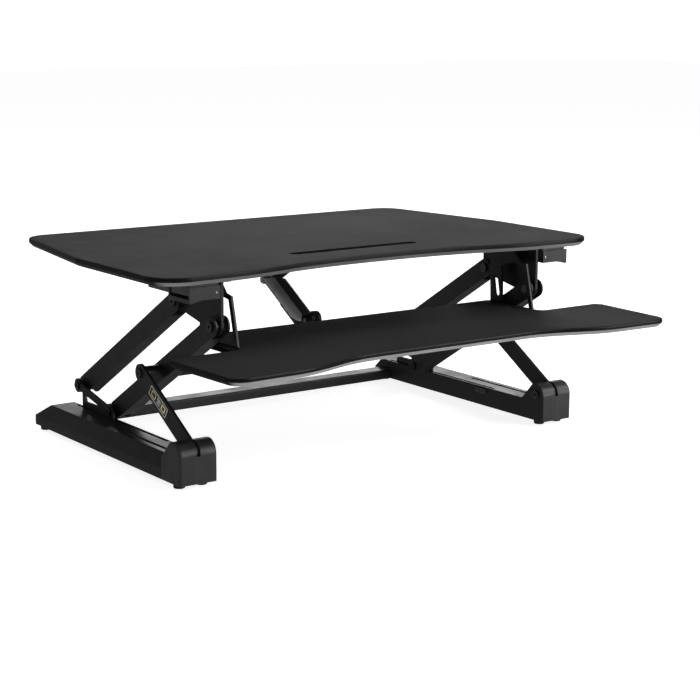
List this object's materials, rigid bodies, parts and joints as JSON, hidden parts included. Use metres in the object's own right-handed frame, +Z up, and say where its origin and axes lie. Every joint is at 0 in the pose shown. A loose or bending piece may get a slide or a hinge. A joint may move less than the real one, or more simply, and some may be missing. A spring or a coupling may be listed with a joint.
{
  "type": "standing desk converter",
  "caption": "Desktop riser with a keyboard tray below it, lifted level by a gas-spring parallel linkage on two base rails.",
  "frame": {"origin": "on the floor, under the middle of the overall box", "axes": "+X to the user's right along the desk, +Y towards the rear, +Z up"},
  "size_m": [0.892, 0.7548, 0.3385],
  "materials": {
    "laminate": "matte black laminate board with a satin edge",
    "frame_steel": "satin black powder coat",
    "cap_plastic": "finely textured black moulding",
    "bright_steel": "bright zinc-plated steel",
    "rod_steel": "ground and polished rod",
    "glide_plastic": "low-friction nylon",
    "foot_rubber": "matte rubber",
    "cable_jacket": "black cable jacket",
    "label_film": "printed polyester label with no lettering"
  },
  "bodies": {
    "base": {"rail_left": "frame_steel", "rail_right": "frame_steel", "toe_cap_inner_left": "cap_plastic", "toe_cap_inner_right": "cap_plastic", "toe_cap_outer_left": "cap_plastic", "toe_cap_outer_right": "cap_plastic", "rear_crossbar": "frame_steel", "crossbar_screws": "bright_steel", "guide_track_left": "frame_steel", "guide_track_right": "frame_steel", "rear_foot_plates": "frame_steel", "rubber_feet": "foot_rubber", "front_pivot_bolts": "bright_steel", "travel_stops": "cap_plastic"},
    "short_links": {"short_link_left": "frame_steel", "short_link_right": "frame_steel", "torsion_shaft": "frame_steel", "shaft_collars": "frame_steel", "shaft_end_bolts": "bright_steel", "caution_label": "label_film"},
    "main_arms": {"main_arm_left": "frame_steel", "main_arm_right": "frame_steel", "arm_cross_tube": "frame_steel", "shaft_bushings": "cap_plastic"},
    "carriage_left": {"carriage_cheek_left": "frame_steel", "glide_shoe_left": "glide_plastic", "carriage_pins_left": "bright_steel"},
    "carriage_right": {"carriage_cheek_right": "frame_steel", "glide_shoe_right": "glide_plastic", "carriage_pins_right": "bright_steel"},
    "rear_arm_left": {"rear_arm_left": "frame_steel"},
    "rear_arm_right": {"rear_arm_right": "frame_steel"},
    "top": {"desktop": "laminate", "tablet_slot_liner": "cap_plastic", "keyboard_tray": "laminate", "top_bracket_left": "frame_steel", "top_bracket_right": "frame_steel", "tray_hanger_left": "frame_steel", "tray_hanger_right": "frame_steel", "upper_pivot_bolts": "bright_steel", "pivot_spacers": "cap_plastic", "handle_housing_left": "cap_plastic", "handle_housing_right": "cap_plastic", "lever_pins": "bright_steel", "spring_hanger": "frame_steel", "spring_hanger_pin": "bright_steel", "release_cable_left": "cable_jacket", "release_cable_right": "cable_jacket", "cable_clips": "cap_plastic", "board_screws": "bright_steel"},
    "release_lever_left": {"release_lever_left": "cap_plastic"},
    "release_lever_right": {"release_lever_right": "cap_plastic"},
    "spring_cylinder": {"spring_base": "frame_steel", "spring_cylinder": "frame_steel", "lock_head": "cap_plastic", "lock_screws": "bright_steel"},
    "spring_rod": {"spring_rod": "rod_steel", "spring_guard": "frame_steel"},
    "spring_shackle": {"spring_shackle": "frame_steel", "spring_eye_pin": "bright_steel"}
  },
  "joints": [
    {"name": "lift", "type": "hinge", "parent": "base", "child": "short_links", "pos_m": [0, -0.1505, 0.056], "axis": [1, 0, 0], "range_deg": [-26, 34.6]},
    {"name": "arm_fold", "type": "hinge", "parent": "short_links", "child": "main_arms", "pos_m": [0, 0.00911, 0.15343], "axis": [1, 0, 0], "range_deg": [-69.7, 52.5]},
    {"name": "top_level", "type": "hinge", "parent": "main_arms", "child": "top", "pos_m": [0, -0.1505, 0.25086], "axis": [1, 0, 0], "range_deg": [-26.5, 35.1]},
    {"name": "carriage_left_level", "type": "hinge", "parent": "main_arms", "child": "carriage_left", "pos_m": [-0.3255, 0.16873, 0.056], "axis": [1, 0, 0], "range_deg": [-26.5, 35.1]},
    {"name": "carriage_right_level", "type": "hinge", "parent": "main_arms", "child": "carriage_right", "pos_m": [0.3255, 0.16873, 0.056], "axis": [1, 0, 0], "range_deg": [-26.5, 35.1]},
    {"name": "rear_arm_left_swing", "type": "hinge", "parent": "carriage_left", "child": "rear_arm_left", "pos_m": [-0.3255, 0.28303, 0.08], "axis": [1, 0, 0], "range_deg": [-35.1, 26.5]},
    {"name": "rear_arm_right_swing", "type": "hinge", "parent": "carriage_right", "child": "rear_arm_right", "pos_m": [0.3255, 0.28303, 0.08], "axis": [1, 0, 0], "range_deg": [-35.1, 26.5]},
    {"name": "spring_swing", "type": "hinge", "parent": "main_arms", "child": "spring_cylinder", "pos_m": [0, 0.00911, 0.15343], "axis": [1, 0, 0], "range_deg": [-29.98, 39.74]},
    {"name": "spring_stroke", "type": "slide", "parent": "spring_cylinder", "child": "spring_rod", "axis": [0, 0.8517, 0.524], "range_m": [-0.02642, 0.03499]},
    {"name": "shackle_swing", "type": "hinge", "parent": "top", "child": "spring_shackle", "pos_m": [0, 0.10427, 0.29475], "axis": [1, 0, 0], "range_deg": [-56.24, 42.39]},
    {"name": "release_left", "type": "hinge", "parent": "top", "child": "release_lever_left", "pos_m": [-0.339, -0.138, 0.308], "axis": [0, 1, 0], "range_deg": [0, 5], "stiffness_Nm_per_rad": 2},
    {"name": "release_right", "type": "hinge", "parent": "top", "child": "release_lever_right", "pos_m": [0.339, -0.138, 0.308], "axis": [0, -1, 0], "range_deg": [0, 5], "stiffness_Nm_per_rad": 2}
  ],
  "couplings": [
    {"joint": "arm_fold", "follows": "lift", "ratio": -2},
    {"joint": "top_level", "follows": "lift", "ratio": 1},
    {"joint": "carriage_left_level", "follows": "lift", "ratio": 1},
    {"joint": "carriage_right_level", "follows": "lift", "ratio": 1},
    {"joint": "rear_arm_left_swing", "follows": "lift", "ratio": -1},
    {"joint": "rear_arm_right_swing", "follows": "lift", "ratio": -1},
    {"joint": "spring_swing", "follows": "lift", "ratio": 1.134},
    {"joint": "spring_stroke", "follows": "lift", "m_per_rad": 0.05712},
    {"joint": "shackle_swing", "follows": "lift", "ratio": -1.611}
  ]
}
